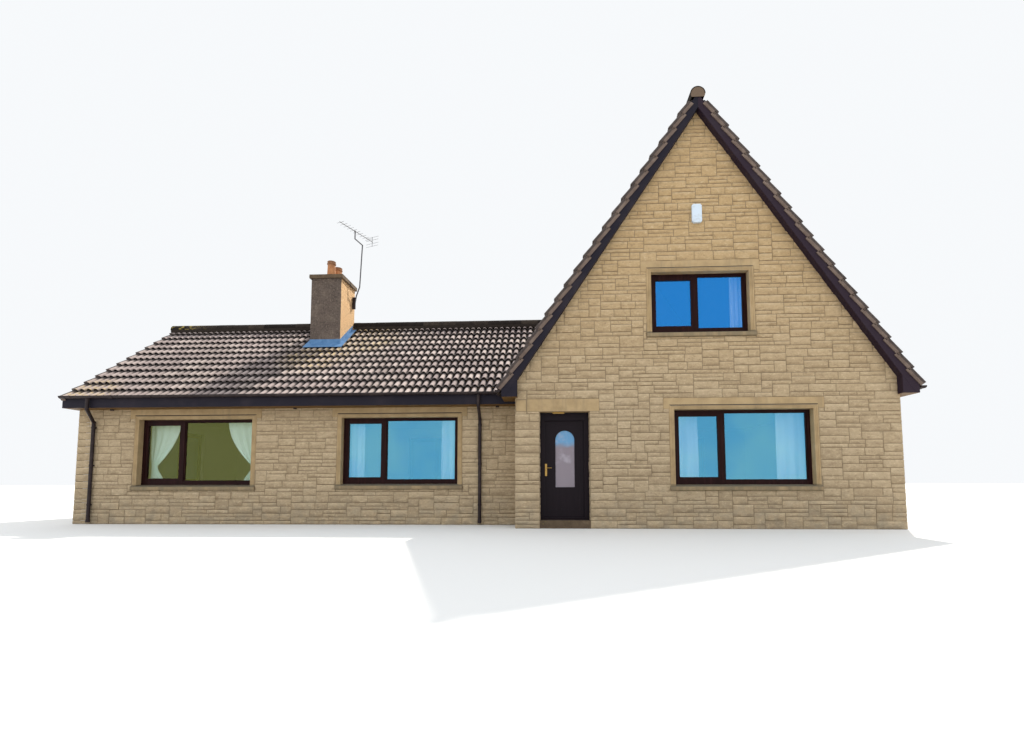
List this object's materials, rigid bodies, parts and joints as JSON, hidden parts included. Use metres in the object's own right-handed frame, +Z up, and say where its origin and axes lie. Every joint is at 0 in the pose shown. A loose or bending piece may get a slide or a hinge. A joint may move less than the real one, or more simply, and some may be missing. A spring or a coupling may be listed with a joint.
{
  "type": "detached house",
  "caption": "Stone detached house: a steep gabled block with a lower wing, tiled roofs, chimney, casement windows and an arched-pane front door that opens.",
  "frame": {"origin": "centre of the walls' plan, on the underside of the ground floor at ground level", "axes": "+X along the front from the wing to the gabled block, +Y from the front to the back, +Z up"},
  "size_m": [17.525, 7.628, 8.7502],
  "materials": {
    "stone_wall": "split-faced stone",
    "dressed_stone": "smooth dressed stone",
    "concrete": "floated concrete",
    "plaster": "plastered board",
    "boards": "sawn softwood",
    "roof_timber": "sawn softwood",
    "roof_tile": "weathered concrete tile",
    "ridge_tile": "weathered clay",
    "dark_paint": "dark painted timber",
    "brown_paint": "brown painted timber",
    "brown_plastic": "moulded plastic",
    "roughcast": "roughcast",
    "cope": "cast concrete",
    "terracotta": "fired clay",
    "lead": "dull sheet lead",
    "aluminium": "drawn tube",
    "window_frame": "wood-grained dark red-brown",
    "glass": "clear sealed units",
    "door_skin": "dark semi-gloss",
    "door_pane": "patterned pane",
    "brass": "lacquered brass",
    "mint_cloth": "light woven cloth",
    "blue_cloth": "light woven cloth",
    "white_cloth": "light woven cloth",
    "white_metal": "painted rail",
    "white_plastic": "moulded plastic"
  },
  "bodies": {
    "house": {"ground_floor": "concrete", "first_floor": "boards", "wing_ceiling": "plaster", "front_wall_left": "stone_wall", "front_wall_right": "stone_wall", "front_wall_upper": "stone_wall", "return_walls": "stone_wall", "gable_rear_wall": "stone_wall", "gable_right_wall": "stone_wall", "wing_front_wall": "stone_wall", "wing_rear_wall": "stone_wall", "wing_end_wall": "stone_wall", "gable_roof_deck": "roof_timber", "wing_roof_deck": "roof_timber", "gable_roof_tiles": "roof_tile", "wing_roof_tiles": "roof_tile", "gable_ridge_tiles": "ridge_tile", "wing_ridge_tiles": "ridge_tile", "bargeboards": "dark_paint", "verge_soffits": "brown_paint", "wing_bargeboard": "dark_paint", "wing_verge_soffit": "brown_paint", "gable_eaves_boards": "dark_paint", "wing_eaves_boards": "dark_paint", "gutters": "brown_plastic", "downpipes": "brown_plastic", "chimney_stack": "roughcast", "chimney_cope": "cope", "chimney_pots": "terracotta", "chimney_flashing": "lead", "aerial_mast": "aluminium", "aerial": "aluminium", "front_surrounds": "dressed_stone", "rear_surrounds": "dressed_stone", "window_lintels": "dressed_stone", "front_window_frames": "window_frame", "rear_window_frames": "window_frame", "front_glass": "glass", "rear_glass": "glass", "door_lintel": "dressed_stone", "door_frame": "door_skin", "gable_curtains": "white_cloth", "wing_left_curtains": "mint_cloth", "wing_right_curtains": "blue_cloth", "curtain_rails": "white_metal", "alarm_box": "white_plastic", "soffit_fixtures": "white_plastic", "door_light": "brass"},
    "front_door": {"door_leaf": "door_skin", "door_glass": "door_pane", "door_plates": "brass"},
    "door_lever": {"door_lever": "brass"}
  },
  "joints": [
    {"name": "door_hinge", "type": "hinge", "parent": "house", "child": "front_door", "pos_m": [2.566, -3.315, 1.15], "axis": [0, 0, -1], "range_deg": [0, 90]},
    {"name": "lever_turn", "type": "hinge", "parent": "front_door", "child": "door_lever", "pos_m": [1.799, -3.346, 1.172], "axis": [0, 1, 0], "range_deg": [0, 35], "stiffness_Nm_per_rad": 1.5, "springref_deg": -34.38}
  ]
}
